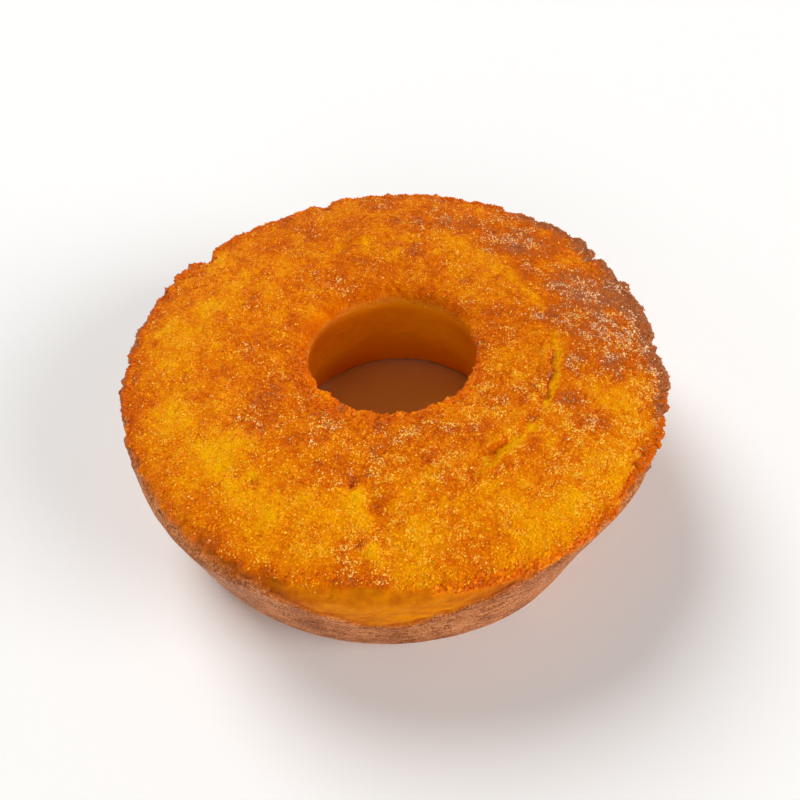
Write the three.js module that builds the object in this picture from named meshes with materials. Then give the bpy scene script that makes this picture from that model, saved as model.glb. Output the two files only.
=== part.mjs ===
// A ring-shaped corn cake, baked in a 24 cm ring pan with a tapered centre tube. It stands
// as it did in the pan: pan side down, risen and browned side up.
// Millimetres, +Z up. The origin is the middle of the cake's flat base.

import * as THREE from 'three';

// ---- driving dimensions ----
const RIM_RADIUS = 121.5;        // outer edge of the risen top, before its rounding
const BASE_RADIUS = 110.5;       // where the outer wall would meet the base, without its corner
const RIM_HEIGHT = 65.5;         // the outer edge of the top, above the base
const CROWN_HEIGHT = 69;         // the highest round of the top, midway across the ring
const LIP_HEIGHT = 67;           // the edge of the top where it turns down into the hole
const HOLE_TOP_RADIUS = 37.3;    // the tube's narrow end
const HOLE_BASE_RADIUS = 55.5;   // the tube's wide end, in the floor of the pan
const PAN_CORNER = 15;           // rounding between the outer wall and the base
const TUBE_CORNER = 5;           // rounding between the hole's wall and the base
const RIM_ROUNDING = 5;          // rounding of the top's outer edge
const LIP_ROUNDING = 6;          // softer rounding of the top's inner edge

// The risen top isn't quite round: a few slow swells, each a number of lobes, how far it
// moves the rim in or out, and the bearing of its first bulge in degrees.
const RIM_SWELLS = [
  { lobes: 1, depth: 1.3, bearing: 11 },
  { lobes: 2, depth: 0.7, bearing: 45 },
  { lobes: 3, depth: 0.5, bearing: -20 },
  { lobes: 4, depth: 1.5, bearing: -40 },
  { lobes: 5, depth: 0.8, bearing: 24 },
];
// The top's height waves too, by much less.
const TOP_SWELLS = [
  { lobes: 2, depth: 0.7, bearing: 70 },
  { lobes: 5, depth: 0.5, bearing: 10 },
];
// The foot of the outer wall is pressed in on one side, over a reach of bearings in degrees.
const FOOT_DENT = { bearing: -46, reach: 13, depth: 4 };
// The pan's tube, and so the hole, stands a little off the middle of the rim.
const TUBE_OFFSET = { x: 2.4, y: 1.8 };

// ---- fineness of the faceted solid ----
const STEPS_AROUND = 96;
const STEPS_PER_CORNER = 5;
const STEPS_ACROSS_TOP = 12;
const STEPS_PER_WALL = 4;
const STEPS_ACROSS_BASE = 2;

// ---- the section through one side of the ring, x = radius, y = height ----

// Points of a straight run, without its last point, which the next run starts with.
function straight(from, to, steps) {
  return Array.from({ length: steps }, (_, i) => from.clone().lerp(to, i / steps));
}

// The two ends of the round corner between a run arriving from `before` and one leaving to
// `after`, and the points of the curve between them, without the last.
function corner(before, at, after, radius) {
  const inward = before.clone().sub(at).normalize();
  const outward = after.clone().sub(at).normalize();
  const halfAngle = Math.acos(inward.dot(outward)) / 2;
  const setback = radius / Math.tan(halfAngle);
  const start = at.clone().addScaledVector(inward, setback);
  const end = at.clone().addScaledVector(outward, setback);
  const middle = inward.clone().add(outward).normalize();
  const centre = at.clone().addScaledVector(middle, radius / Math.sin(halfAngle));
  const startAngle = Math.atan2(start.y - centre.y, start.x - centre.x);
  const endAngle = Math.atan2(end.y - centre.y, end.x - centre.x);
  const sweep = Math.atan2(Math.sin(endAngle - startAngle), Math.cos(endAngle - startAngle));
  const points = Array.from({ length: STEPS_PER_CORNER }, (_, i) => {
    const angle = startAngle + (sweep * i) / STEPS_PER_CORNER;
    return new THREE.Vector2(
      centre.x + radius * Math.cos(angle),
      centre.y + radius * Math.sin(angle),
    );
  });
  return { start, end, points };
}

// The crowned top from the rim in to the lip: a parabola through rim, crown and lip heights,
// laid over the straight line between its two ends.
function crownedTop(from, to, steps) {
  const rise = CROWN_HEIGHT - (from.y + to.y) / 2;
  return straight(from, to, steps).map((point, i) => {
    const across = i / steps;
    return new THREE.Vector2(point.x, point.y + 4 * rise * across * (1 - across));
  });
}

function ringSection() {
  const holeFoot = new THREE.Vector2(HOLE_BASE_RADIUS, 0);
  const panFoot = new THREE.Vector2(BASE_RADIUS, 0);
  const rim = new THREE.Vector2(RIM_RADIUS, RIM_HEIGHT);
  const lip = new THREE.Vector2(HOLE_TOP_RADIUS, LIP_HEIGHT);
  const panCorner = corner(holeFoot, panFoot, rim, PAN_CORNER);
  const rimCorner = corner(panFoot, rim, lip, RIM_ROUNDING);
  const lipCorner = corner(rim, lip, holeFoot, LIP_ROUNDING);
  const tubeCorner = corner(lip, holeFoot, panFoot, TUBE_CORNER);
  const section = [
    ...straight(tubeCorner.end, panCorner.start, STEPS_ACROSS_BASE),
    ...panCorner.points,
    ...straight(panCorner.end, rimCorner.start, STEPS_PER_WALL),
    ...rimCorner.points,
    ...crownedTop(rimCorner.end, lipCorner.start, STEPS_ACROSS_TOP),
    ...lipCorner.points,
    ...straight(lipCorner.end, tubeCorner.start, STEPS_PER_WALL),
    ...tubeCorner.points,
  ];
  section.push(section[0].clone());
  return section;
}

// ---- the unevenness of a risen cake ----

function swellAt(swells, bearing) {
  return swells.reduce((sum, { lobes, depth, bearing: first }) => {
    return sum + depth * Math.cos(lobes * (bearing - THREE.MathUtils.degToRad(first)));
  }, 0);
}

// How far the foot's dent moves the wall in: a bell over the bearings, deepest at the base.
function dentAt(bearing, height) {
  const away = THREE.MathUtils.radToDeg(bearing) - FOOT_DENT.bearing;
  const shortWay = THREE.MathUtils.euclideanModulo(away + 180, 360) - 180;
  const low = Math.max(0, 1 - height / RIM_HEIGHT);
  return FOOT_DENT.depth * Math.exp(-((shortWay / FOOT_DENT.reach) ** 2)) * low;
}

// Moves each vertex outward and up by the swells, and in by the dent. The pan holds the foot of
// the cake true and the tube holds the hole true, so the swells fade to nothing towards them.
// Round the hole, every vertex follows the tube's offset instead.
function addUnevenness(geometry) {
  const position = geometry.attributes.position;
  for (let i = 0; i < position.count; i += 1) {
    const [x, y, z] = [position.getX(i), position.getY(i), position.getZ(i)];
    const radius = Math.hypot(x, y);
    const bearing = Math.atan2(y, x);
    const risen = (z / RIM_HEIGHT) ** 2;
    const outer = THREE.MathUtils.smoothstep(radius, HOLE_BASE_RADIUS, RIM_RADIUS);
    const outward = swellAt(RIM_SWELLS, bearing) * risen - dentAt(bearing, z);
    const newRadius = radius + outward * outer;
    position.setXYZ(
      i,
      newRadius * Math.cos(bearing) + TUBE_OFFSET.x * (1 - outer),
      newRadius * Math.sin(bearing) + TUBE_OFFSET.y * (1 - outer),
      z + swellAt(TOP_SWELLS, bearing) * risen,
    );
  }
}

// Slides the solid so that the middle of its box is on the Z axis and its base is at zero.
function centreOnBase(geometry) {
  geometry.computeBoundingBox();
  const { min, max } = geometry.boundingBox;
  geometry.translate(-(min.x + max.x) / 2, -(min.y + max.y) / 2, -min.z);
}

function cornCake() {
  const geometry = new THREE.LatheGeometry(ringSection(), STEPS_AROUND);
  geometry.rotateX(Math.PI / 2);
  addUnevenness(geometry);
  centreOnBase(geometry);
  const material = new THREE.MeshStandardMaterial({
    color: 0xdb7a12,
    roughness: 0.6,
    metalness: 0,
  });
  const mesh = new THREE.Mesh(geometry, material);
  mesh.name = 'corn_cake';
  return mesh;
}

const group = new THREE.Group();
group.add(cornCake());

export default group;
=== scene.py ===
"""A ring-shaped corn cake: its baked body, the grains and crumbs on its top, and the studio
round it."""

import bpy
import numpy as np
from mathutils import Matrix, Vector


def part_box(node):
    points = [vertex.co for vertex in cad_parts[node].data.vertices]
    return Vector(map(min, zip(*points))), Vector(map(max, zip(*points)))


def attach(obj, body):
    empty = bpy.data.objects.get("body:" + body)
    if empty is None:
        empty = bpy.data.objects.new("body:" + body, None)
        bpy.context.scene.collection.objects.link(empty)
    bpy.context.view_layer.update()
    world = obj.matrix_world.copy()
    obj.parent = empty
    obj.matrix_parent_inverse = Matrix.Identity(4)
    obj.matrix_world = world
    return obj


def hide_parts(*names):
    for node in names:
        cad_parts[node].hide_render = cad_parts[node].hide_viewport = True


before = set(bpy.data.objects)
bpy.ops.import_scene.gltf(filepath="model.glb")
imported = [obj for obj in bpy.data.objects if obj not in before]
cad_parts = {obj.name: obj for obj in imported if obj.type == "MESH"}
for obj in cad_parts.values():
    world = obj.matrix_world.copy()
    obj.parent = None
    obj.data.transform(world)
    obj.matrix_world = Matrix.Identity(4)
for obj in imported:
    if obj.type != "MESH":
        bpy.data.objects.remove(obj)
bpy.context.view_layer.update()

cake_low, cake_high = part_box("corn_cake")
MM = 0.001

# ---------------------------------------------------------------------------
# The camera.
# It looks down on the cake from the front, close to it and with a short lens, a little
# tilted in the hand. Nothing else in the scene depends on it.
# ---------------------------------------------------------------------------
RIM_HEIGHT = 65.5 * MM
CAMERA_DISTANCE = 347.6 * MM      # from the middle of the rim's circle
CAMERA_ELEVATION = np.radians(45.6)
CAMERA_LOOKS_DOWN = np.radians(49.36)
CAMERA_LOOKS_RIGHT = np.radians(0.86)
CAMERA_ROLL = np.radians(-3.3)
SENSOR_WIDTH = 36.0
LENS = 34.65


def camera_axes(down, right, roll):
    """The camera's right, up and backward directions: it faces +Y, is turned right and down, and
    is then rolled about its own line of sight."""
    forward = np.array([np.sin(right) * np.cos(down), np.cos(right) * np.cos(down), -np.sin(down)])
    level = np.cross(forward, [0.0, 0.0, 1.0])
    level /= np.linalg.norm(level)
    upright = np.cross(level, forward)
    side = level * np.cos(roll) + upright * np.sin(roll)
    up = -level * np.sin(roll) + upright * np.cos(roll)
    return side, up, -forward


camera_data = bpy.data.cameras.new("camera")
camera_data.lens = LENS
camera_data.sensor_width = SENSOR_WIDTH
camera_data.clip_start = 0.01
camera = bpy.data.objects.new("camera", camera_data)
bpy.context.collection.objects.link(camera)
from_rim = np.array([0.0, -np.cos(CAMERA_ELEVATION), np.sin(CAMERA_ELEVATION)])
camera_turn = camera_axes(CAMERA_LOOKS_DOWN, CAMERA_LOOKS_RIGHT, CAMERA_ROLL)
camera_matrix = np.eye(4)
camera_matrix[:3, :3] = np.stack(camera_turn, axis=1)
camera_matrix[:3, 3] = CAMERA_DISTANCE * from_rim + [0.0, 0.0, RIM_HEIGHT]
camera.matrix_world = Matrix(camera_matrix.tolist())
bpy.context.scene.camera = camera

# ---------------------------------------------------------------------------
# The baked body.
# One closed ring of corn cake. The pan gave it smooth brown walls, a flat base and a
# tapered hole; above the pan it rose, split in a ring and browned into a coarse crumb.
# ---------------------------------------------------------------------------
RIM_RADIUS = 121.5 * MM
BASE_RADIUS = 110.5 * MM
CROWN_HEIGHT = 69 * MM
LIP_HEIGHT = 67 * MM
HOLE_TOP_RADIUS = 37.3 * MM
HOLE_BASE_RADIUS = 55.5 * MM
PAN_CORNER = 15 * MM
TUBE_CORNER = 5 * MM
RIM_ROUNDING_BACK = 3 * MM
RIM_ROUNDING_FRONT = 12 * MM       # the front of the rim rolls over into the wall
LIP_ROUNDING_BACK = 7 * MM         # the far side of the hole's edge slumped while it baked
LIP_ROUNDING_FRONT = 3 * MM
TUBE_OFFSET = np.array([2.4, 1.8]) * MM    # the pan's tube stands a little off the middle

# Slow swells of the rim's radius and of the top's height: lobes, depth in mm, and the bearing
# of the first bulge in degrees. The foot of the wall is pressed in on one side.
RIM_SWELLS = [(1, 1.3, 11), (2, 0.7, 45), (3, 0.5, -20), (4, 1.5, -40), (5, 0.8, 24)]
TOP_SWELLS = [(2, 0.7, 70), (5, 0.5, 10)]
DENT_BEARING = -46
DENT_REACH = 13
DENT_DEPTH = 4 * MM

# The side of the rim that rolls over: the bearing of its middle, how far it reaches and how far
# it is at full strength, in degrees either way.
ROLLED_SIDE = (-103, 75, 35)

STEPS_AROUND = 512
STEPS_ALONG = {
    "base": 10, "pan corner": 12, "outer wall": 32, "rim": 8,
    "top": 86, "lip": 14, "hole wall": 24, "tube corner": 6,
}


def between(value, low, high):
    """0 below low, 1 above high, and the smooth cubic 3t^2 - 2t^3 between them."""
    t = np.clip((value - low) / (high - low), 0.0, 1.0)
    return t * t * (3.0 - 2.0 * t)


def hill(distance, width):
    """A bell: 1 at distance 0, falling as exp(-(distance / width)^2)."""
    return np.exp(-((distance / width) ** 2))


def turn_between(bearing, other):
    """The unsigned angle between two bearings, the short way round."""
    return np.abs((bearing - other + np.pi) % (2 * np.pi) - np.pi)


def facing(bearing, middle, reach, full):
    """1 within full degrees of the bearing middle, 0 further than reach degrees from it, and
    smooth between."""
    return between(turn_between(bearing, np.radians(middle)), np.radians(reach), np.radians(full))


def hump(bearing, middle, width):
    """A bell over the bearings: 1 at middle, falling as hill does, both given in degrees."""
    return hill(turn_between(bearing, np.radians(middle)), np.radians(width))


def bearing_of(points):
    """The bearing of each point round the axis."""
    return np.arctan2(points[..., 1], points[..., 0])


def radius_of(points):
    """The level distance of each point from the axis."""
    return np.hypot(points[..., 0], points[..., 1])


# Large odd numbers that scramble a cell's counts and the seed, and the masks that keep the low
# 31 and 20 bits of the result.
CELL_SCRAMBLERS = (374761393, 668265263, 1440662683)
SEED_SCRAMBLER = 362437
SECOND_SCRAMBLER = 1274126177
THIRD_SCRAMBLER = 668265263
LOW_31_BITS = 0x7FFFFFFF
LOW_20_BITS = 0xFFFFF


def random_at(cells, seed):
    """A repeatable random number from 0 to 1 for each whole-number cell: its three counts are
    mixed by multiplying, shifting and xor."""
    mixed = sum(cells[..., axis] * CELL_SCRAMBLERS[axis] for axis in range(3))
    mixed = mixed + seed * SEED_SCRAMBLER
    mixed = (mixed ^ (mixed >> 13)) * SECOND_SCRAMBLER & LOW_31_BITS
    mixed = (mixed ^ (mixed >> 15)) * THIRD_SCRAMBLER & LOW_31_BITS
    return ((mixed ^ (mixed >> 16)) & LOW_20_BITS) / LOW_20_BITS


def cloud(points, size, seed):
    """Smooth noise from -1 to 1 whose lumps are about size across: random values at the corners
    of a cubic lattice, blended by the smooth cubic."""
    place = points / size
    cell = np.floor(place).astype(np.int64)
    t = place - cell
    t = t * t * (3.0 - 2.0 * t)
    total = np.zeros(points.shape[:-1])
    for corner in np.ndindex(2, 2, 2):
        weight = np.prod(np.where(np.array(corner) == 1, t, 1.0 - t), axis=-1)
        total += weight * random_at(cell + np.array(corner), seed)
    return 2.0 * total - 1.0


def clouds(points, size, seed, octaves=3):
    """Layers of cloud noise, each half as large and half as strong as the last, scaled to stay
    within about -1 to 1."""
    layers = [cloud(points, size / 2**k, seed + 17 * k) / 2**k for k in range(octaves)]
    return sum(layers) / sum(0.5**k for k in range(octaves))


def beads(points, size, seed):
    """Packed round lumps about size across: 1 at the middle of a lump, falling with the distance
    to the nearest of one random point in each lattice cell."""
    place = points / size
    cell = np.floor(place).astype(np.int64)
    nearest = np.full(points.shape[:-1], np.inf)
    for step in np.ndindex(3, 3, 3):
        neighbour = cell + np.array(step) - 1
        offset = np.stack([random_at(neighbour, seed + axis) for axis in range(3)], axis=-1)
        nearest = np.minimum(nearest, np.linalg.norm(place - (neighbour + offset), axis=-1))
    return 1.0 - nearest


def round_corner(before, at, after, radius, steps):
    """The arc of the given radius that rounds the corner at, between the lines from before and
    to after; its start and end are where it leaves and joins them."""
    back = (before - at) / np.linalg.norm(before - at)
    ahead = (after - at) / np.linalg.norm(after - at)
    half = np.arccos(back @ ahead) / 2.0
    middle = (back + ahead) / np.linalg.norm(back + ahead)
    centre = at + middle * (radius / np.sin(half))[:, None]
    start = at + back * (radius / np.tan(half))[:, None]
    end = at + ahead * (radius / np.tan(half))[:, None]
    first = np.arctan2(*(start - centre).T[::-1])
    last = np.arctan2(*(end - centre).T[::-1])
    sweep = (last - first + np.pi) % (2 * np.pi) - np.pi
    angle = first[:, None] + sweep[:, None] * np.arange(steps) / steps
    spokes = np.stack([np.cos(angle), np.sin(angle)], axis=-1)
    return start, end, centre[:, None, :] + radius[:, None, None] * spokes


def straight_run(start, end, steps):
    """Evenly spaced points from start towards end, without end."""
    t = (np.arange(steps) / steps)[None, :, None]
    return start[:, None, :] * (1.0 - t) + end[:, None, :] * t


def ring_sections(rim_rounding, lip_rounding):
    """One closed section (radius, height) of the ring for each bearing: straight walls, top and
    base joined by round corners, the top raised by a parabola, and the rounding of the rim and
    the lip changing with the bearing."""
    like = np.ones_like(lip_rounding)
    hole_foot = np.array([HOLE_BASE_RADIUS, 0.0])
    pan_foot = np.array([BASE_RADIUS, 0.0])
    rim = np.array([RIM_RADIUS, RIM_HEIGHT])
    lip = np.array([HOLE_TOP_RADIUS, LIP_HEIGHT])
    steps = STEPS_ALONG
    pan_start, pan_end, pan_arc = round_corner(
        hole_foot, pan_foot, rim, PAN_CORNER * like, steps["pan corner"],
    )
    rim_start, rim_end, rim_arc = round_corner(pan_foot, rim, lip, rim_rounding, steps["rim"])
    lip_start, lip_end, lip_arc = round_corner(rim, lip, hole_foot, lip_rounding, steps["lip"])
    tube_start, tube_end, tube_arc = round_corner(
        lip, hole_foot, pan_foot, TUBE_CORNER * like, steps["tube corner"],
    )
    top = straight_run(rim_end, lip_start, steps["top"])
    across = np.arange(steps["top"]) / steps["top"]
    rise = CROWN_HEIGHT - (rim_end[:, 1] + lip_start[:, 1]) / 2.0
    top[..., 1] += 4.0 * rise[:, None] * across * (1.0 - across)
    return np.concatenate([
        straight_run(tube_end, pan_start, steps["base"]), pan_arc,
        straight_run(pan_end, rim_start, steps["outer wall"]), rim_arc,
        top, lip_arc,
        straight_run(lip_end, tube_start, steps["hole wall"]), tube_arc,
    ], axis=1)


def swell(bearing, lobes, depth, first):
    """A slow wave round the ring: depth times the cosine of lobes times the bearing past its
    first bulge."""
    return depth * np.cos(lobes * (bearing - np.radians(first)))


def uneven(radius, height, bearing):
    """The risen cake's slow swells, outward and up, fading to nothing at the foot and the hole
    that the pan held true, and the dent pressed into the foot on one side."""
    risen = (height / RIM_HEIGHT) ** 2
    outer = between(radius, HOLE_BASE_RADIUS, RIM_RADIUS)
    out = sum(swell(bearing, lobes, depth * MM, first) for lobes, depth, first in RIM_SWELLS)
    up = sum(swell(bearing, lobes, depth * MM, first) for lobes, depth, first in TOP_SWELLS)
    low = np.maximum(0.0, 1.0 - height / RIM_HEIGHT)
    dent = DENT_DEPTH * hump(bearing, DENT_BEARING, DENT_REACH) * low
    return radius + (out * risen - dent) * outer, height + up * risen


bearing = np.linspace(0.0, 2 * np.pi, STEPS_AROUND, endpoint=False)
slumped = between(0.5 + 0.5 * np.sin(bearing), 0.2, 0.9)
lip_rounding = LIP_ROUNDING_FRONT + (LIP_ROUNDING_BACK - LIP_ROUNDING_FRONT) * slumped
rolled = facing(bearing, *ROLLED_SIDE)
rim_rounding = RIM_ROUNDING_BACK + (RIM_ROUNDING_FRONT - RIM_ROUNDING_BACK) * rolled
sections = ring_sections(rim_rounding, lip_rounding)
bearings = np.broadcast_to(bearing[:, None], sections.shape[:2])
radius, height = uneven(sections[..., 0], sections[..., 1], bearings)
smooth_ring = np.stack([radius * np.cos(bearings), radius * np.sin(bearings), height], axis=-1)
near_tube = 1.0 - between(sections[..., :1], HOLE_BASE_RADIUS, RIM_RADIUS)
smooth_ring[..., :2] += TUBE_OFFSET * near_tube
box_middle = (smooth_ring.min(axis=(0, 1)) + smooth_ring.max(axis=(0, 1))) / 2.0
axis_place = (np.array(cake_low) + np.array(cake_high))[:2] / 2.0 - box_middle[:2]


def grid_normals(grid):
    """Outward unit normals of a grid closed both ways: the cross product of its differences
    along the section and round the ring."""
    along = np.roll(grid, -1, axis=1) - np.roll(grid, 1, axis=1)
    around = np.roll(grid, -1, axis=0) - np.roll(grid, 1, axis=0)
    normal = np.cross(around, along)
    return normal / np.linalg.norm(normal, axis=-1, keepdims=True)


# What the oven did to the top. Each place is a bearing in degrees and a radius in mm, with
# how far it reaches in mm and how strong it is.
BROWN_PATCHES = [
    (13, 98, 10, 0.22), (-11, 93, 9, 0.20), (-27, 84, 6, 0.38), (-4, 112, 8, 0.12),
    (0, 95, 6, 0.16), (23, 92, 9, 0.18), (42, 92, 10, 0.20), (-31, 98, 7, 0.18),
    (11, 109, 9, 0.18), (2, 84, 6, 0.26), (-15, 81, 4, 0.26), (50, 102, 11, 0.20),
    (64, 96, 8, 0.14), (-62, 80, 5, 0.16), (8, 75, 7, 0.28), (-178, 76, 8, 0.12),
    (-113, 91, 8, 0.14), (-152, 65, 8, 0.10), (32, 75, 6, 0.12), (15, 113, 5, 0.16),
]
PALE_PATCHES = [
    (138, 112, 9, 0.28), (169, 103, 9, 0.28), (180, 93, 8, 0.24), (-163, 100, 10, 0.26),
    (-142, 90, 8, 0.36), (-132, 97, 9, 0.28), (-143, 103, 8, 0.12), (-121, 101, 10, 0.14),
    (-108, 110, 10, 0.18), (-128, 81, 6, 0.14), (-101, 80, 5, 0.32), (-98, 89, 5, 0.20),
    (-96, 101.5, 3.5, 0.36), (-62, 106, 12, 0.20), (-80, 72, 8, 0.18), (-38, 110, 9, 0.16),
    (-22, 104, 9, 0.20), (-118, 111, 8, 0.12), (-88, 109, 11, 0.14), (-6, 110, 6, 0.14),
    (62, 113, 7, 0.14), (-85, 96, 7, 0.12), (154, 90, 9, 0.20),
]
# Small holes where steam broke through: bearing in degrees, then radius, width and depth in mm.
STEAM_PITS = [
    (-103, 74, 1.9, 1.9), (-96, 83.5, 4.2, 2.1), (-98.6, 98.6, 2.4, 1.9),
    (-52.5, 98.5, 1.6, 1.3), (-129.5, 88, 1.8, 1.5), (-66.5, 78, 3.4, 1.2),
    (38, 70, 1.8, 1.3), (160, 66, 1.8, 1.1), (-150, 78, 2.6, 1.3),
]
# Knobs of crumb that stand up beside them: bearing in degrees, then radius, width and height.
KNOBS = [
    (-95.4, 101.5, 2.8, 1.8), (-100, 80, 2.4, 1.0), (-88, 90, 3.0, 0.9), (-110, 88, 3.4, 0.9),
]
# Where the ragged rim has broken away, or bulges where the depth is negative: bearing and
# half-width in degrees, and depth in mm.
RIM_NOTCHES = [
    (104, 1.8, 4.2), (139.5, 2.2, 5.4), (27.8, 1.3, 4.4), (-2.0, 3.0, 1.8), (19, 2.2, 1.4),
    (54, 2.0, 2.6), (174, 5, 1.8), (-40, 6, 2.0), (-138, 12, 1.6), (-11, 4, -2.0),
    (38, 6, -1.8),
]
# The sides where the cake differs, given as the rolled side is above.
SPLIT_OPEN_SIDE = (-31, 39, 24)
SPLIT_TRACE_SIDE = (14, 36, 16)
BROWN_SIDE = (16, 54, 24)
PALE_SIDE = (-38, 36, 14)
NEAR_SIDE = (-62, 74, 36)
FAR_SIDE = (112, 74, 36)
FRONT_LINE_SIDE = (-95, 52, 32)
TOASTED_EDGE_SIDE = (-4, 68, 34)
THIN_EDGE_SIDE = (-170, 62, 40)
GOLDEN_BAND_SIDE = (-92, 28, 12)
# Where the crumb and the crust end on the outer wall: how far under the rim, in mm, and there
# the bearing, width in degrees and depth in mm of each place where they end lower.
CRUMB_END_DROP = 3.0
CRUMB_DIP = (-70, 18, 7.0)
CRUST_END_DROP = 3.0
DEEP_BAY = (-96, 15, 27.0)
SHALLOW_BAY = (-77, 12, 13.0)
# The sides of the hole's crust: browner on the left as painted shade, paler on the right as
# painted light, and paler on the near side; for each, the bearing of the middle and the width.
SHADED_TUBE_SIDE = (150, 38)
LIT_TUBE_SIDE = (62, 24)
PALER_TUBE_FRONT = (-90, 70)
SPLIT_RADIUS = 75.6                # in mm
EVEN_BAKE = 0.45                   # the top's bake level before anything changes it
FLATTEN = [1.0, 1.0, 0.0]          # takes the height out, so a pattern stays the same up a wall


def from_place(points, place_bearing, place_radius):
    """The level distance of each point from a place given by its bearing in degrees and its
    radius in mm."""
    angle = np.radians(place_bearing)
    place = place_radius * MM * np.array([np.cos(angle), np.sin(angle)])
    return np.linalg.norm(points[..., :2] - place, axis=-1)


def split_distance(points):
    """How far each point of the top lies outside the ring-shaped split, whose radius wanders as
    it goes round, and how open the split is there."""
    angle = bearing_of(points)
    level = points * FLATTEN
    wander = 1.6 * cloud(level, 16 * MM, 5) + 1.5 * cloud(level, 5 * MM, 6)
    wander += 0.9 * cloud(level, 2.2 * MM, 9)
    open_side = facing(angle, *SPLIT_OPEN_SIDE)
    trace = 0.22 * facing(angle, *SPLIT_TRACE_SIDE)
    broken = 0.3 + 0.7 * between(cloud(level, 8 * MM, 8), -0.5, 0.3)
    elsewhere = 0.25 * between(cloud(level, 22 * MM, 7), 0.1, 0.5)
    openness = np.maximum(np.maximum(open_side, trace) * broken, elsewhere)
    return radius_of(points) - (SPLIT_RADIUS + wander) * MM, openness


def rim_gap(points):
    """How far each point lies inside the outer edge of the top, swells included."""
    angle = bearing_of(points)
    swells = sum(swell(angle, lobes, depth * MM, first) for lobes, depth, first in RIM_SWELLS)
    return RIM_RADIUS + swells - radius_of(points)


def dip(angle, middle, width, depth):
    """How far a line round the wall dips in mm: a bell of that depth over the bearings."""
    return depth * hump(angle, middle, width)


def crumb_end(points):
    """The height where the crumb ends on the outer side: just under the rim, and lower at the
    front right, where the rim rolled over furthest."""
    return RIM_HEIGHT - (CRUMB_END_DROP + dip(bearing_of(points), *CRUMB_DIP)) * MM


def on_top(points):
    """1 on the risen top and its two edges, 0 on the walls that the pan and the tube shaped. The
    change is a ragged line, but a soft one at the far side of the hole."""
    front = between(np.sin(bearing_of(points)), 0.2, -0.6)
    inner_end = LIP_HEIGHT - 7.0 * MM + 4.0 * MM * front
    outer_side = radius_of(points) > (RIM_RADIUS + HOLE_TOP_RADIUS) / 2
    lowest = np.where(outer_side, crumb_end(points), inner_end)
    softness = np.where(outer_side, 0.9 * MM, (4.0 - 3.1 * front) * MM)
    ragged = 1.1 * MM * cloud(points, 7 * MM, 11) + 0.6 * MM * cloud(points, 2.5 * MM, 12)
    return between(points[..., 2], lowest - softness + ragged, lowest + softness + ragged)


def crust_edge(points):
    """The height where the brown pan crust ends on the outer wall: just under the rim, and far
    lower at the front, where the cake rose bare above its crust, in a deep bay and a shallower
    one to its right. It is ragged all round."""
    angle = bearing_of(points)
    level = points * FLATTEN
    ragged = 3.4 * cloud(level, 12 * MM, 13) + 1.9 * cloud(level, 4 * MM, 14)
    ragged += 0.9 * cloud(level, 1.8 * MM, 15)
    bays = dip(angle, *DEEP_BAY) + dip(angle, *SHALLOW_BAY)
    return RIM_HEIGHT + (ragged - CRUST_END_DROP - bays) * MM


def crumb_relief(points):
    """The lumps of the risen crumb: slow swellings and two sizes of packed round beads."""
    coarse = beads(points, 3.4 * MM, 32) - 0.5
    fine = beads(points, 1.9 * MM, 36) - 0.5
    return (0.9 * clouds(points, 9 * MM, 31) + 1.0 * coarse + 0.6 * fine) * MM


def bake_of_sides(points, angle, out):
    """The broad differences of the top: paler midway across, most of all on the left, browner on
    the right, paler on the near right and the near side, and browner round the far side."""
    left = between(-np.cos(angle), -0.5, 0.8)
    pale_ring = hill(out - (82 * MM - 7 * MM * np.cos(angle)), 12 * MM)
    brown = 0.15 + 0.12 * cloud(points, 6.5 * MM, 26)
    change = -(0.08 + 0.10 * left) * pale_ring
    change -= 0.06 * facing(angle, *PALE_SIDE) * between(out, 78 * MM, 90 * MM)
    change += facing(angle, *BROWN_SIDE) * brown * between(out, 76 * MM, 88 * MM)
    change -= 0.10 * facing(angle, *NEAR_SIDE) * between(out, 74 * MM, 96 * MM)
    change += 0.13 * facing(angle, *FAR_SIDE) * hill(out - 89 * MM, 15 * MM)
    return change


def bake_of_edges(points, angle, out):
    """The darker edges of the top: the rim all round, a brown line where the crumb ends at the
    front, a broad toasted edge on the right, a thin one on the left, and the hole's lip."""
    gap = rim_gap(points)
    rim = 0.10 + 0.12 * facing(angle, *BROWN_SIDE) - 0.08 * facing(angle, *NEAR_SIDE)
    line_height = crumb_end(points) + (1.5 + 1.2 * cloud(points, 9 * MM, 25)) * MM
    front_line = facing(angle, *FRONT_LINE_SIDE) * hill(points[..., 2] - line_height, 1.6 * MM)
    ragged_gap = gap + 1.2 * MM * cloud(points, 5 * MM, 23)
    toasted = facing(angle, *TOASTED_EDGE_SIDE) * between(ragged_gap, 6.6 * MM, 3.2 * MM)
    thin = facing(angle, *THIN_EDGE_SIDE) * between(gap, 3.2 * MM, 1.4 * MM)
    lip = 0.07 - 0.02 * between(np.sin(angle), 0.0, 0.6)
    change = rim * between(gap, 13 * MM, 5 * MM)
    change += 0.16 * front_line + 0.30 * toasted + 0.36 * thin
    change += lip * between(out, 58 * MM, 46 * MM)
    return change


def bake_of_places(points):
    """The brown patches less the pale ones, and painted shade in each steam pit, browner the
    deeper the pit.
    """
    change = np.zeros(points.shape[:-1])
    for place_bearing, place_radius, reach, strength in BROWN_PATCHES:
        change += strength * hill(from_place(points, place_bearing, place_radius), reach * MM)
    for place_bearing, place_radius, reach, strength in PALE_PATCHES:
        change -= strength * hill(from_place(points, place_bearing, place_radius), reach * MM)
    # Painted shade: each steam pit is browned by its depth, as shadow would darken it.
    for place_bearing, place_radius, width, depth in STEAM_PITS:
        off_pit = from_place(points, place_bearing, place_radius)
        change += 0.14 * depth * hill(off_pit, 0.9 * width * MM)
    return change


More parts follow.
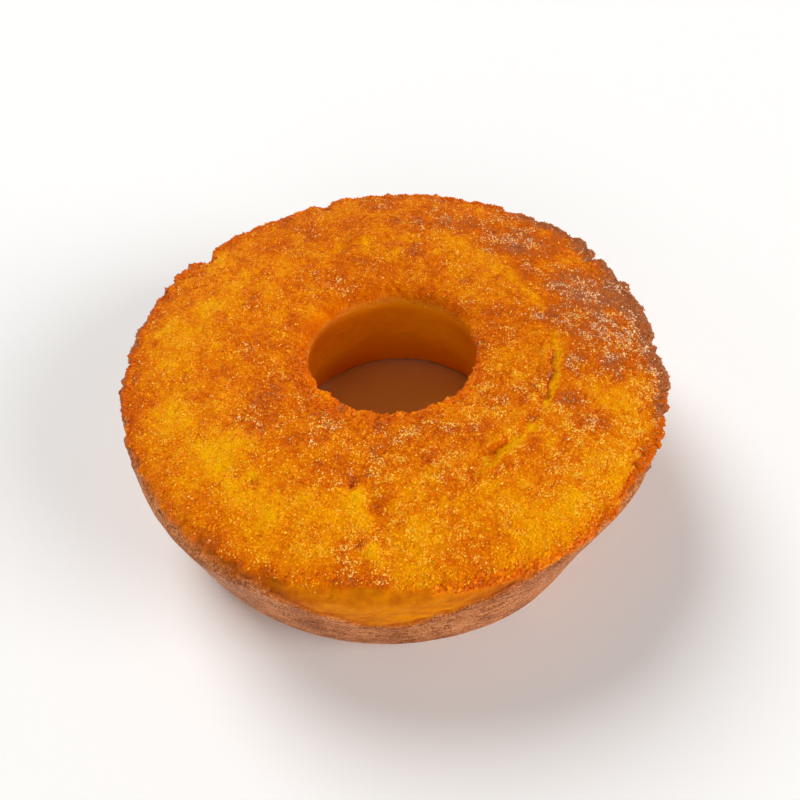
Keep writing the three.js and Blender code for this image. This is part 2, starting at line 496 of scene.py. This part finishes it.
def bake_of_split(points):
    """The bare crumb in the split is pale, its inner edge has a line of painted shadow under the
    raised inner lip, and its outer edge is brown.
    """
    off_split, openness = split_distance(points)
    change = -0.56 * openness * hill(off_split - 0.3 * MM, (1.0 + 0.8 * openness) * MM)
    # Painted shadow: a brown line along the split's inner edge, where the raised lip shades it.
    change += 0.34 * openness * hill(off_split + 3.2 * MM, 0.9 * MM)
    change += 0.22 * openness * hill(off_split - 5.6 * MM, 2.4 * MM)
    return change


def bake_level(points):
    """How far each point of the crumb is baked, from 0, pale yellow, to 1, toasted brown: an even
    orange with clouds in it, then the changes of the sides, the edges, the patches, the painted
    shade in the hollows between the lumps and the split, kept from 0 to 1."""
    angle = bearing_of(points)
    out = radius_of(points)
    level = EVEN_BAKE + 0.17 * clouds(points, 17 * MM, 21) + 0.30 * clouds(points, 7 * MM, 22)
    level += 0.07 * cloud(points, 2.4 * MM, 24)
    level += bake_of_sides(points, angle, out)
    level += bake_of_edges(points, angle, out)
    level += bake_of_places(points)
    # Painted shade: the hollows between the crumb's lumps are browned as if shadow lay in them.
    level += 0.16 * between(-crumb_relief(points), 0.0, 1.1 * MM)
    level += bake_of_split(points)
    return np.clip(level, 0.0, 1.0)


def bare_wall_level(points):
    """How far the bare band of the wall is baked: golden yellow with slow level streaks, browner
    away from its middle and in a thin ragged line where the crust begins."""
    streaks = clouds(points * [1.0, 1.0, 4.0], 14 * MM, 61)
    streaks += clouds(points * [1.0, 1.0, 2.5], 4 * MM, 63)
    above = points[..., 2] - crust_edge(points)
    scorched = hill(above - 0.8 * MM, 1.5 * MM) * (0.5 + 0.5 * cloud(points, 5 * MM, 62))
    browner = 1.0 - facing(bearing_of(points), *GOLDEN_BAND_SIDE)
    return 0.44 + 0.26 * streaks + 0.55 * scorched + 0.30 * browner


def relief(points):
    """How far the surface stands out along its normal: coarse crumb on the top, with the split
    and the pits sunk into it, and slow soft dents and level wrinkles in the pan crust."""
    top = on_top(points)
    crumb = crumb_relief(points)
    off_split, openness = split_distance(points)
    crumb -= 1.9 * MM * openness * hill(off_split, 2.2 * MM)
    crumb -= 1.2 * MM * openness * hill(off_split + 2.6 * MM, 0.9 * MM)
    crumb += 1.2 * MM * openness * hill(np.abs(off_split + 0.4 * MM) - 4.8 * MM, 1.8 * MM)
    for place_bearing, place_radius, width, depth in STEAM_PITS:
        off_pit = from_place(points, place_bearing, place_radius)
        crumb -= depth * MM * hill(off_pit, width * MM)
    for place_bearing, place_radius, width, rise in KNOBS:
        off_knob = from_place(points, place_bearing, place_radius)
        crumb += rise * MM * hill(off_knob, width * MM)
    dents = 0.5 * MM * clouds(points, 26 * MM, 33)
    dents += 0.22 * MM * clouds(points * [1.0, 1.0, 3.5], 8 * MM, 34)
    above = points[..., 2] - crust_edge(points)
    bare_lumps = 0.45 * cloud(points * [1.0, 1.0, 1.6], 5 * MM, 35)
    bare_lumps += 0.25 * cloud(points, 2.2 * MM, 37)
    pan_edge = (bare_lumps - 0.8) * MM * between(above, -0.7 * MM, 0.7 * MM)
    off_floor = between(points[..., 2], 1.0 * MM, 10 * MM)
    outside = radius_of(points) > HOLE_BASE_RADIUS + 2 * MM
    return top * crumb + (1.0 - top) * off_floor * (dents + np.where(outside, pan_edge, 0.0))


def ragged_edges(points):
    """Level outward moves that make the top's two edges crumbly: lumps and notches near the rim,
    lumps only at the front of the hole."""
    angle = bearing_of(points)
    out = radius_of(points)
    near_rim = between(points[..., 2], RIM_HEIGHT - 9 * MM, RIM_HEIGHT - 3 * MM)
    near_rim = near_rim * between(out, RIM_RADIUS - 12 * MM, RIM_RADIUS - 3 * MM)
    lumps = 0.9 * cloud(points, 8 * MM, 41) + 1.5 * cloud(points, 3.6 * MM, 42)
    lumps += 1.0 * cloud(points, 2.0 * MM, 43)
    for notch_bearing, half_width, depth in RIM_NOTCHES:
        away = turn_between(angle, np.radians(notch_bearing)) / np.radians(half_width)
        lumps = lumps - depth * hill(away**2, 1.0)
    near_lip = between(points[..., 2], LIP_HEIGHT - 8 * MM, LIP_HEIGHT - 1 * MM)
    near_lip = near_lip * between(out, 50 * MM, 44 * MM)
    front = between(np.sin(angle), 0.1, -0.5)
    lip_lumps = 0.9 * cloud(points, 3.0 * MM, 44) + 0.7 * cloud(points, 6.0 * MM, 45)
    return (near_rim * lumps + near_lip * (0.25 + 0.75 * front) * lip_lumps) * MM


normals = grid_normals(smooth_ring)
outward = np.stack([np.cos(bearings), np.sin(bearings), np.zeros_like(bearings)], axis=-1)
body_grid = smooth_ring + normals * relief(smooth_ring)[..., None]
body_grid = body_grid + outward * ragged_edges(smooth_ring)[..., None]
body_top = on_top(smooth_ring)
above_crust = smooth_ring[..., 2] - crust_edge(smooth_ring)
body_crust = between(above_crust, 0.6 * MM, -0.6 * MM)
body_bare = (1.0 - body_top) * (1.0 - body_crust)
body_bake = bake_level(smooth_ring) * (1.0 - body_bare)
body_bake = body_bake + bare_wall_level(smooth_ring) * body_bare
in_hole = between(radius_of(smooth_ring), 60 * MM, 57 * MM) * (1.0 - body_top)


def new_mesh_object(name, vertices, faces, smooth):
    """A mesh object at the origin from an array of vertices and an array of faces that all have
    the same number of corners."""
    mesh = bpy.data.meshes.new(name)
    corners = faces.shape[1]
    mesh.vertices.add(len(vertices))
    mesh.vertices.foreach_set("co", np.ascontiguousarray(vertices, dtype=np.float32).ravel())
    mesh.loops.add(faces.size)
    mesh.loops.foreach_set("vertex_index", faces.astype(np.int32).ravel())
    mesh.polygons.add(len(faces))
    mesh.polygons.foreach_set("loop_start", np.arange(len(faces), dtype=np.int32) * corners)
    mesh.polygons.foreach_set("use_smooth", np.full(len(faces), smooth))
    mesh.update(calc_edges=True)
    mesh.validate()
    made = bpy.data.objects.new(name, mesh)
    bpy.context.collection.objects.link(made)
    return made


def set_attribute(made, name, values):
    """Stores one number per vertex for the material to read."""
    attribute = made.data.attributes.new(name, "FLOAT", "POINT")
    attribute.data.foreach_set("value", np.ascontiguousarray(values, dtype=np.float32).ravel())


def set_bake_map(made, places):
    """Stores the flat place of every face corner in the map that the surface is unrolled on."""
    layer = made.data.uv_layers.new(name="OFBake")
    layer.uv.foreach_set("vector", np.ascontiguousarray(places, dtype=np.float32).ravel())


around_count, along_count = body_grid.shape[:2]
around_index, along_index = np.indices((around_count, along_count))
next_around = (around_index + 1) % around_count
next_along = (along_index + 1) % along_count
body_faces = np.stack([
    around_index * along_count + along_index,
    next_around * along_count + along_index,
    next_around * along_count + next_along,
    around_index * along_count + next_along,
], axis=-1).reshape(-1, 4)

run = np.linalg.norm(np.roll(smooth_ring, -1, axis=1) - smooth_ring, axis=-1).mean(axis=0)
run_ends = np.concatenate([[0.0], np.cumsum(run)]) / run.sum()
steps_round = np.stack([around_index, around_index + 1, around_index + 1, around_index], axis=-1)
steps_on = np.stack([along_index, along_index, along_index + 1, along_index + 1], axis=-1)

place_offset = np.array([axis_place[0], axis_place[1], 0.0])
body_points = (body_grid + place_offset).reshape(-1, 3)
body = new_mesh_object("baked_corn_cake", body_points, body_faces, smooth=True)
set_attribute(body, "bake", body_bake)
set_attribute(body, "crumb", body_top)
set_attribute(body, "crust", body_crust)
set_attribute(body, "hole", in_hole)
set_attribute(body, "bare", body_bare * (1.0 - in_hole))
# Painted light and shade in the hole: its left wall is browned and its right wall made paler, as
# the fall of light would do; its near side is made paler too.
painted_shade_left = hump(bearings, *SHADED_TUBE_SIDE)
painted_light_right = hump(bearings, *LIT_TUBE_SIDE)
paler_front = hump(bearings, *PALER_TUBE_FRONT)
set_attribute(body, "browner_tube", painted_shade_left - 0.6 * painted_light_right - 0.9 * paler_front)
set_bake_map(body, np.stack([steps_round / around_count, run_ends[steps_on]], axis=-1))


class Shade:
    """A socket in a material. Python's operators on it add Math nodes, and node() adds any
    other."""

    def __init__(self, tree, socket=None):
        self.tree = tree
        self.socket = socket

    def node(self, kind, settings, inputs, output=0):
        """Adds one node of the given type, sets its settings, then gives its sockets their values
        or links."""
        made = self.tree.nodes.new("ShaderNode" + kind)
        for name, value in settings.items():
            if name == "stops":
                self.set_stops(made.color_ramp, value)
            else:
                setattr(made, name, value)
        for name, value in inputs.items():
            if isinstance(value, Shade):
                self.tree.links.new(value.socket, made.inputs[name])
            else:
                made.inputs[name].default_value = value
        return Shade(self.tree, made.outputs[output])

    @staticmethod
    def set_stops(ramp, stops):
        """Fills a colour ramp from (position, colour) pairs."""
        while len(ramp.elements) < len(stops):
            ramp.elements.new(1.0)
        for element, (position, colour) in zip(ramp.elements, stops, strict=True):
            element.position = position
            element.color = (*colour, 1.0)

    def math(self, operation, *values):
        """Adds a Math node that does the operation on the values."""
        return self.node("Math", {"operation": operation}, dict(enumerate(values)))

    def __add__(self, other):
        return self.math("ADD", self, other)

    def __sub__(self, other):
        return self.math("SUBTRACT", self, other)

    def __rsub__(self, other):
        return self.math("SUBTRACT", other, self)

    def __mul__(self, other):
        return self.math("MULTIPLY", self, other)

    __radd__ = __add__
    __rmul__ = __mul__

    def stepped(self, low, high):
        """0 where this is below low, 1 above high, smooth between."""
        inputs = {"Value": self, "From Min": low, "From Max": high}
        return self.node("MapRange", {"interpolation_type": "SMOOTHSTEP"}, inputs)

    def at_most_one(self, other):
        """The sum of this and another, kept from 0 to 1."""
        return self.node("Math", {"operation": "ADD", "use_clamp": True}, {0: self, 1: other})

    def mixed_to(self, other, share):
        """This colour turned into another by a share from 0 to 1."""
        return self.node("Mix", {"data_type": "RGBA"}, {0: share, 6: self, 7: other}, output=2)


def new_material(name, **values):
    """Makes a Principled material with the given constant sockets, and returns it, a Shade to
    build on, and its shader node."""
    material = bpy.data.materials.new(name)
    material.use_nodes = True
    tree = material.node_tree
    shader = tree.nodes["Principled BSDF"]
    for socket, value in values.items():
        shader.inputs[socket.replace("_", " ")].default_value = value
    return material, Shade(tree), shader


# The crumb's colour as it bakes, from pale yellow through orange to toasted brown.
CRUMB_STOPS = [
    (0.00, (0.98, 0.44, 0.001)),
    (0.22, (0.92, 0.31, 0.001)),
    (0.42, (0.82, 0.195, 0.001)),
    (0.60, (0.71, 0.130, 0.001)),
    (0.74, (0.63, 0.116, 0.002)),
    (0.86, (0.57, 0.142, 0.020)),
    (0.94, (0.53, 0.172, 0.058)),
    (1.00, (0.42, 0.126, 0.040)),
]
# The pan crust, from its lightest mottles to its darkest, where its pits are painted in shade.
CRUST_STOPS = [
    (0.00, (0.64, 0.250, 0.092)),
    (0.35, (0.41, 0.128, 0.037)),
    (0.65, (0.26, 0.068, 0.016)),
    (1.00, (0.11, 0.026, 0.005)),
]
# The bare band of the wall, from golden to scorched.
BARE_STOPS = [
    (0.00, (0.86, 0.315, 0.001)),
    (0.38, (0.66, 0.190, 0.001)),
    (0.66, (0.49, 0.111, 0.002)),
    (1.00, (0.25, 0.045, 0.005)),
]
# The hole's crust, from golden to brown.
HOLE_STOPS = [
    (0.00, (0.90, 0.350, 0.002)),
    (0.30, (0.80, 0.260, 0.001)),
    (0.60, (0.63, 0.155, 0.001)),
    (1.00, (0.42, 0.076, 0.001)),
]
# How fine each pattern of the finish is, in lumps to the metre.
SLOW_SCALE = 60.0
WRINKLE_SCALE = 110.0
SPOT_SCALE = 110.0
FINE_SCALE = 420.0
CELL_SCALE = 850.0
GRIT_SCALE = 1100.0
GRAIN_SCALE = 700.0
BUMP_DEPTH = 0.9 * MM


def baked_material():
    """The body's finish. Bake level, shifted by fine noise, picks the crumb's colour and that of
    the bare band of the wall; crust and hole colours are laid over them where the pan and the
    tube shaped the cake. The crust has level wrinkles, small pits darkened as painted shade, and
    a lighter foot. The hole is lighter at its foot, its lip and its near side, paler on its right
    as painted light and browner on its left as painted shade."""
    material, shade, shader = new_material(
        "baked_corn_cake", Subsurface_Weight=0.3, Subsurface_Scale=3 * MM,
        Subsurface_Radius=(1.0, 0.35, 0.05), Specular_IOR_Level=0.04,
        Specular_Tint=(1.0, 0.62, 0.15, 1.0),
    )

    def stored(name):
        return shade.node("Attribute", {"attribute_name": name}, {}, output="Fac")

    def noise(scale, detail, at):
        inputs = {"Vector": at, "Scale": scale, "Detail": detail, "Roughness": 0.6}
        return shade.node("TexNoise", {}, inputs)

    def cells(scale):
        return shade.node("TexVoronoi", {}, {"Vector": place, "Scale": scale}, output="Distance")

    place = shade.node("TexCoord", {}, {}, output="Object")
    upward = shade.node("SeparateXYZ", {}, {"Vector": place}, output="Z")
    bake = stored("bake")
    crumb = stored("crumb")
    crust = stored("crust")
    hole = stored("hole")
    bare = stored("bare")
    browner_tube = stored("browner_tube")
    fine = noise(FINE_SCALE, 3.0, place)
    grit = noise(GRIT_SCALE, 2.0, place)
    cell = cells(CELL_SCALE)
    level = bake + (fine - 0.5) * 0.44 + (grit - 0.5) * 0.26
    crumb_colour = shade.node("ValToRGB", {"stops": CRUMB_STOPS}, {0: level}, output="Color")
    bare_colour = shade.node("ValToRGB", {"stops": BARE_STOPS}, {0: level}, output="Color")

    slow = noise(SLOW_SCALE, 5.0, place)
    stretch = shade.node("Mapping", {}, {"Vector": place, "Scale": (1.0, 1.0, 3.5)})
    wrinkle = noise(WRINKLE_SCALE, 5.0, stretch)
    spot = cells(SPOT_SCALE)
    painted_shade_pits = 1.0 - spot.stepped(0.06, 0.13)
    foot = 1.0 - upward.stepped(5 * MM, 14 * MM)
    mottling = (slow - 0.5) * 1.3 + (wrinkle - 0.5) * 1.3 + (grit - 0.5) * 2.6
    # Painted shade: the crust's small pits are darkened as if in shadow.
    crust_level = 0.42 + mottling + painted_shade_pits * 0.45 - foot * 0.25
    crust_colour = shade.node("ValToRGB", {"stops": CRUST_STOPS}, {0: crust_level}, output="Color")
    hole_rise = upward.stepped(20 * MM, 54 * MM) * 0.54 - upward.stepped(50 * MM, 62 * MM) * 0.35
    # The stored tube attribute brings in the hole's painted shade on the left and painted light on
    # the right.
    hole_level = hole_rise + (slow - 0.5) * 0.36 + browner_tube * 0.46
    hole_colour = shade.node("ValToRGB", {"stops": HOLE_STOPS}, {0: hole_level}, output="Color")

    smooth_skin = crust * (1.0 - crumb)
    bare_or_crumb = crumb_colour.mixed_to(bare_colour, bare)
    colour = bare_or_crumb.mixed_to(crust_colour, smooth_skin).mixed_to(hole_colour, hole)
    shader_link = shade.tree.links.new
    shader_link(colour.socket, shader.inputs["Base Color"])
    roughness = 0.55 - smooth_skin * 0.15 + (grit - 0.5) * 0.3
    shader_link(roughness.socket, shader.inputs["Roughness"])
    crumb_height = (fine - 0.5) * 1.2 + (grit - 0.5) * 0.6 - cell * 0.7
    skin_height = (wrinkle - 0.5) * 0.6 + (grit - 0.5) * 0.12 - painted_shade_pits * 0.3
    calm = smooth_skin.at_most_one(bare)
    height_here = crumb_height * (1.0 - calm) + skin_height * calm
    bump_inputs = {"Height": height_here, "Strength": 1.0, "Distance": BUMP_DEPTH}
    bump = shade.node("Bump", {}, bump_inputs, output="Normal")
    shader_link(bump.socket, shader.inputs["Normal"])
    return material


body.data.materials.append(baked_material())
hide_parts("corn_cake")
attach(body, "root")

# ---------------------------------------------------------------------------
# The grains and crumbs on the top.
# Coarse corn meal, sugar and toasted crumbs baked into the surface. Each is a small
# eight-sided chip sunk about halfway in, and they glint because their sides are flat. The
# sugar's pale cream is partly a painted highlight.
# ---------------------------------------------------------------------------
CHIP_CORNERS = np.array([
    [1, 0, 0], [-1, 0, 0], [0, 1, 0], [0, -1, 0], [0, 0, 1], [0, 0, -1],
], float)
CHIP_FACES = np.array([
    [0, 2, 4], [2, 1, 4], [1, 3, 4], [3, 0, 4],
    [2, 0, 5], [1, 2, 5], [3, 1, 5], [0, 3, 5],
])
GOLDEN_GRAINS = 24000
PALE_GRAINS = 16000
TOASTED_CRUMBS = 20000
SUGAR_AND_GLINT_GRAINS = 19000
RIM_CRUMBS = 8000
CHIP_SINK = 0.12                   # how deep a chip's middle lies, as a share of its size
CHIP_BAKE_SPREAD = 0.1             # how much chips side by side differ in their bake level
CHIP_MAP_REACH = 0.0012            # how far a chip's corners spread in the unrolled map

next_point = np.roll(body_grid, (-1, -1), axis=(0, 1))
diagonal_a = next_point - body_grid
diagonal_b = np.roll(body_grid, -1, axis=0) - np.roll(body_grid, -1, axis=1)
cell_areas = np.linalg.norm(np.cross(diagonal_a, diagonal_b), axis=-1) / 2.0
body_normals = grid_normals(body_grid)


def random_turns(random, count):
    """Random rotation matrices: each from a random unit quaternion."""
    quaternions = random.normal(size=(4, count))
    w, x, y, z = quaternions / np.linalg.norm(quaternions, axis=0)
    return np.stack([
        np.stack([1 - 2 * (y * y + z * z), 2 * (x * y - z * w), 2 * (x * z + y * w)], axis=-1),
        np.stack([2 * (x * y + z * w), 1 - 2 * (x * x + z * z), 2 * (y * z - x * w)], axis=-1),
        np.stack([2 * (x * z - y * w), 2 * (y * z + x * w), 1 - 2 * (x * x + y * y)], axis=-1),
    ], axis=1)


def scatter(name, count, smallest, largest, density, bake_shift, seed, finish):
    """Scatters one piece's chips over the body's grid: a cell is drawn with a chance that follows
    its area and the density, a place in it is picked evenly, and a chip of random size, shape and
    turn is sunk there. All of them get the one finish."""
    random = np.random.default_rng(seed)
    chance = (cell_areas * density).ravel()
    cell = random.choice(chance.size, size=count, p=chance / chance.sum())
    i, j = cell // along_count, cell % along_count
    s, t = random.random((2, count, 1))
    i_next, j_next = (i + 1) % around_count, (j + 1) % along_count

    def blend(grid):
        near = grid[i, j] * (1 - s) + grid[i_next, j] * s
        return near * (1 - t) + (grid[i, j_next] * (1 - s) + grid[i_next, j_next] * s) * t

    centre = blend(body_grid)
    normal = blend(body_normals)
    size = smallest + (largest - smallest) * random.random((count, 1)) ** 1.5
    centre = centre - normal * size * CHIP_SINK
    corners = CHIP_CORNERS[None] * random.uniform(0.65, 1.35, (count, 6, 1))
    corners = corners + random.uniform(-0.22, 0.22, (count, 6, 3))
    corners = np.einsum("nij,nkj->nki", random_turns(random, count), corners) * size[:, None] / 2.0
    vertices = centre[:, None, :] + corners + place_offset
    faces = CHIP_FACES[None] + 6 * np.arange(count)[:, None, None]
    chips = new_mesh_object(name, vertices.reshape(-1, 3), faces.reshape(-1, 3), smooth=False)
    own_bake = blend(body_bake[..., None])[:, 0] + bake_shift
    own_bake = own_bake + random.normal(0.0, CHIP_BAKE_SPREAD, count)
    set_attribute(chips, "bake", np.repeat(own_bake, 6))
    around = (i[:, None] + s) / around_count
    along = run_ends[j][:, None] + (run_ends[j + 1] - run_ends[j])[:, None] * t
    spread = CHIP_CORNERS[:, :2] + CHIP_CORNERS[:, 2:] * 0.3
    places = np.stack([around, along], axis=-1) + spread[None] * CHIP_MAP_REACH
    set_bake_map(chips, places[np.arange(count)[:, None, None], CHIP_FACES[None]])
    chips.data.materials.append(finish)
    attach(chips, "root")


def grain_material(name, stops, roughness, specular):
    """A grain's finish: the chip's own bake level and a fine noise pick its colour from the given
    stops, and it shines golden, as oiled meal does."""
    material, shade, shader = new_material(
        name, Roughness=roughness, Specular_IOR_Level=specular,
        Specular_Tint=(1.0, 0.66, 0.18, 1.0),
    )
    place = shade.node("TexCoord", {}, {}, output="Object")
    bake = shade.node("Attribute", {"attribute_name": "bake"}, {}, output="Fac")
    fine = shade.node("TexNoise", {}, {"Vector": place, "Scale": GRAIN_SCALE, "Detail": 2.0})
    level = bake + (fine - 0.5) * 0.3
    colour = shade.node("ValToRGB", {"stops": stops}, {0: level}, output="Color")
    shade.tree.links.new(colour.socket, shader.inputs["Base Color"])
    return material


# Sugar melted golden on the pale crumb and stayed cream on the toasted crumb. The paler and
# creamier stops are partly painted highlight: the grains carry the colour of glints.
SUGAR_AND_GLINT_STOPS = [
    (0.00, (1.00, 0.52, 0.02)),
    (0.46, (1.00, 0.56, 0.05)),
    (0.66, (1.00, 0.62, 0.15)),
    (0.84, (1.00, 0.70, 0.44)),
]

# Where more or less sugar and its painted highlight lie, given as the sides of the top are.
SUGARED_SIDE = (-62, 60, 30)
SUGARED_EDGE_SIDE = (-26, 38, 18)
LESS_SUGAR_SIDE = (118, 64, 34)

from_axis = radius_of(smooth_ring)
split_off, split_open = split_distance(smooth_ring)
beside_split = 1.0 - 0.9 * split_open * hill(split_off, 2.6 * MM)
rim_zone = between(rim_gap(smooth_ring), 5 * MM, 1 * MM)
front_lip = between(from_axis, 46 * MM, 41 * MM) * between(np.sin(bearings), 0.3, -0.4)
back_lip = between(from_axis, 48 * MM, 43 * MM) * between(np.sin(bearings), -0.2, 0.4)
grain_ground = body_top * beside_split * (1.0 - 0.92 * back_lip)
rolled_rim = between(rim_gap(smooth_ring), 12 * MM, 5 * MM) * rolled[:, None]
right_edge = facing(bearings, *SUGARED_EDGE_SIDE) * between(from_axis, 86 * MM, 98 * MM)
sugar_and_glint_share = 0.35 + 0.85 * between(body_bake, 0.42, 0.72)
sugar_and_glint_share = sugar_and_glint_share + 0.45 * facing(bearings, *SUGARED_SIDE) + 0.7 * right_edge
sugar_and_glint_share = sugar_and_glint_share * (1.0 - 0.6 * rolled_rim)
sugar_and_glint_share = sugar_and_glint_share * (1.0 - 0.45 * facing(bearings, *LESS_SUGAR_SIDE))
sugar_and_glint_ground = grain_ground * sugar_and_glint_share
clusters = clouds(body_grid, 7 * MM, 51)
fine_clusters = 0.65 * clouds(body_grid, 8 * MM, 52) + 0.5 * cloud(body_grid, 2.6 * MM, 53)

scatter(
    "golden_meal_grains", GOLDEN_GRAINS, smallest=0.8 * MM, largest=1.7 * MM,
    density=grain_ground * (0.25 + 0.75 * between(clusters, -0.25, 0.35)),
    bake_shift=-0.04, seed=101,
    finish=grain_material("golden_meal", CRUMB_STOPS, roughness=0.42, specular=0.2),
)
scatter(
    "pale_meal_grains", PALE_GRAINS, smallest=0.6 * MM, largest=1.3 * MM,
    density=grain_ground * (0.15 + 0.85 * between(clusters, 0.2, -0.3)),
    bake_shift=-0.26, seed=105,
    finish=grain_material("pale_meal", CRUMB_STOPS, roughness=0.40, specular=0.22),
)
scatter(
    "toasted_crumbs", TOASTED_CRUMBS, smallest=0.7 * MM, largest=1.5 * MM,
    density=grain_ground * (0.12 + between(body_bake, 0.45, 0.8) + 0.6 * rim_zone),
    bake_shift=0.12, seed=102,
    finish=grain_material("toasted_crumb", CRUMB_STOPS, roughness=0.45, specular=0.12),
)
# Partly painted highlight: cream sugar grains are clustered where the crumb glints.
scatter(
    "sugar_and_glint_grains", SUGAR_AND_GLINT_GRAINS, smallest=0.6 * MM, largest=1.2 * MM,
    density=sugar_and_glint_ground * (0.08 + between(fine_clusters, 0.02, 0.24)),
    bake_shift=0.0, seed=103,
    finish=grain_material("sugar_grain", SUGAR_AND_GLINT_STOPS, roughness=0.25, specular=0.4),
)
scatter(
    "rim_crumbs", RIM_CRUMBS, smallest=1.1 * MM, largest=2.8 * MM,
    density=body_top * (rim_zone + 0.7 * front_lip),
    bake_shift=0.04, seed=104,
    finish=grain_material("rim_crumb", CRUMB_STOPS, roughness=0.45, specular=0.15),
)

# ---------------------------------------------------------------------------
# The studio.
# A plain pale floor that the cake stands on, pale walls of light all round under a dim
# ceiling, one soft key light from behind on the left and two wide fills.
# ---------------------------------------------------------------------------
FLOOR_SIZE = 6.0                   # metres
WALL_LIGHT = 0.90
CEILING_LIGHT = 0.03
WALL_TOP = 0.44                    # heights on a unit ball round the cake: the walls are at full
CEILING_EDGE = 0.62                # light below the first, and all is dim ceiling above the second
floor_corners = FLOOR_SIZE / 2 * np.array([[-1, -1, 0], [1, -1, 0], [1, 1, 0], [-1, 1, 0]])
floor_corners = floor_corners + [0.0, 0.0, cake_low[2]]
floor = new_mesh_object("floor", floor_corners, np.array([[0, 1, 2, 3]]), smooth=False)
floor_material, *_ = new_material(
    "floor", Base_Color=(0.95, 0.94, 0.92, 1.0), Roughness=0.8, Specular_IOR_Level=0.2,
)
floor.data.materials.append(floor_material)

world = bpy.data.worlds.new("surround")
world.use_nodes = True
surround = Shade(world.node_tree)
sky = surround.node("TexCoord", {}, {}, output="Generated")
sky_height = surround.node("SeparateXYZ", {}, {"Vector": sky}, output="Z")
walls = WALL_LIGHT + (CEILING_LIGHT - WALL_LIGHT) * sky_height.stepped(WALL_TOP, CEILING_EDGE)
background = world.node_tree.nodes["Background"]
background.inputs["Color"].default_value = (1.0, 1.0, 1.0, 1.0)
world.node_tree.links.new(walls.socket, background.inputs["Strength"])
bpy.context.scene.world = world
bpy.context.scene.view_settings.view_transform = "Standard"


def add_sun(name, from_bearing, elevation, width, strength):
    """A far light from a bearing and elevation in degrees, as wide in the sky as width says."""
    data = bpy.data.lights.new(name, "SUN")
    data.angle = np.radians(width)
    data.energy = strength
    light = bpy.data.objects.new(name, data)
    a, e = np.radians(from_bearing), np.radians(elevation)
    towards = np.array([np.cos(a) * np.cos(e), np.sin(a) * np.cos(e), np.sin(e)])
    side = np.cross([0.0, 0.0, 1.0], towards)
    side /= np.linalg.norm(side)
    matrix = np.eye(4)
    matrix[:3, :3] = np.stack([side, np.cross(towards, side), towards], axis=1)
    light.matrix_world = Matrix(matrix.tolist())
    bpy.context.collection.objects.link(light)


add_sun("key", from_bearing=125, elevation=46, width=34, strength=2.2)
add_sun("fill_right", from_bearing=-22, elevation=22, width=36, strength=2.0)
add_sun("fill_front", from_bearing=-100, elevation=24, width=36, strength=0.35)
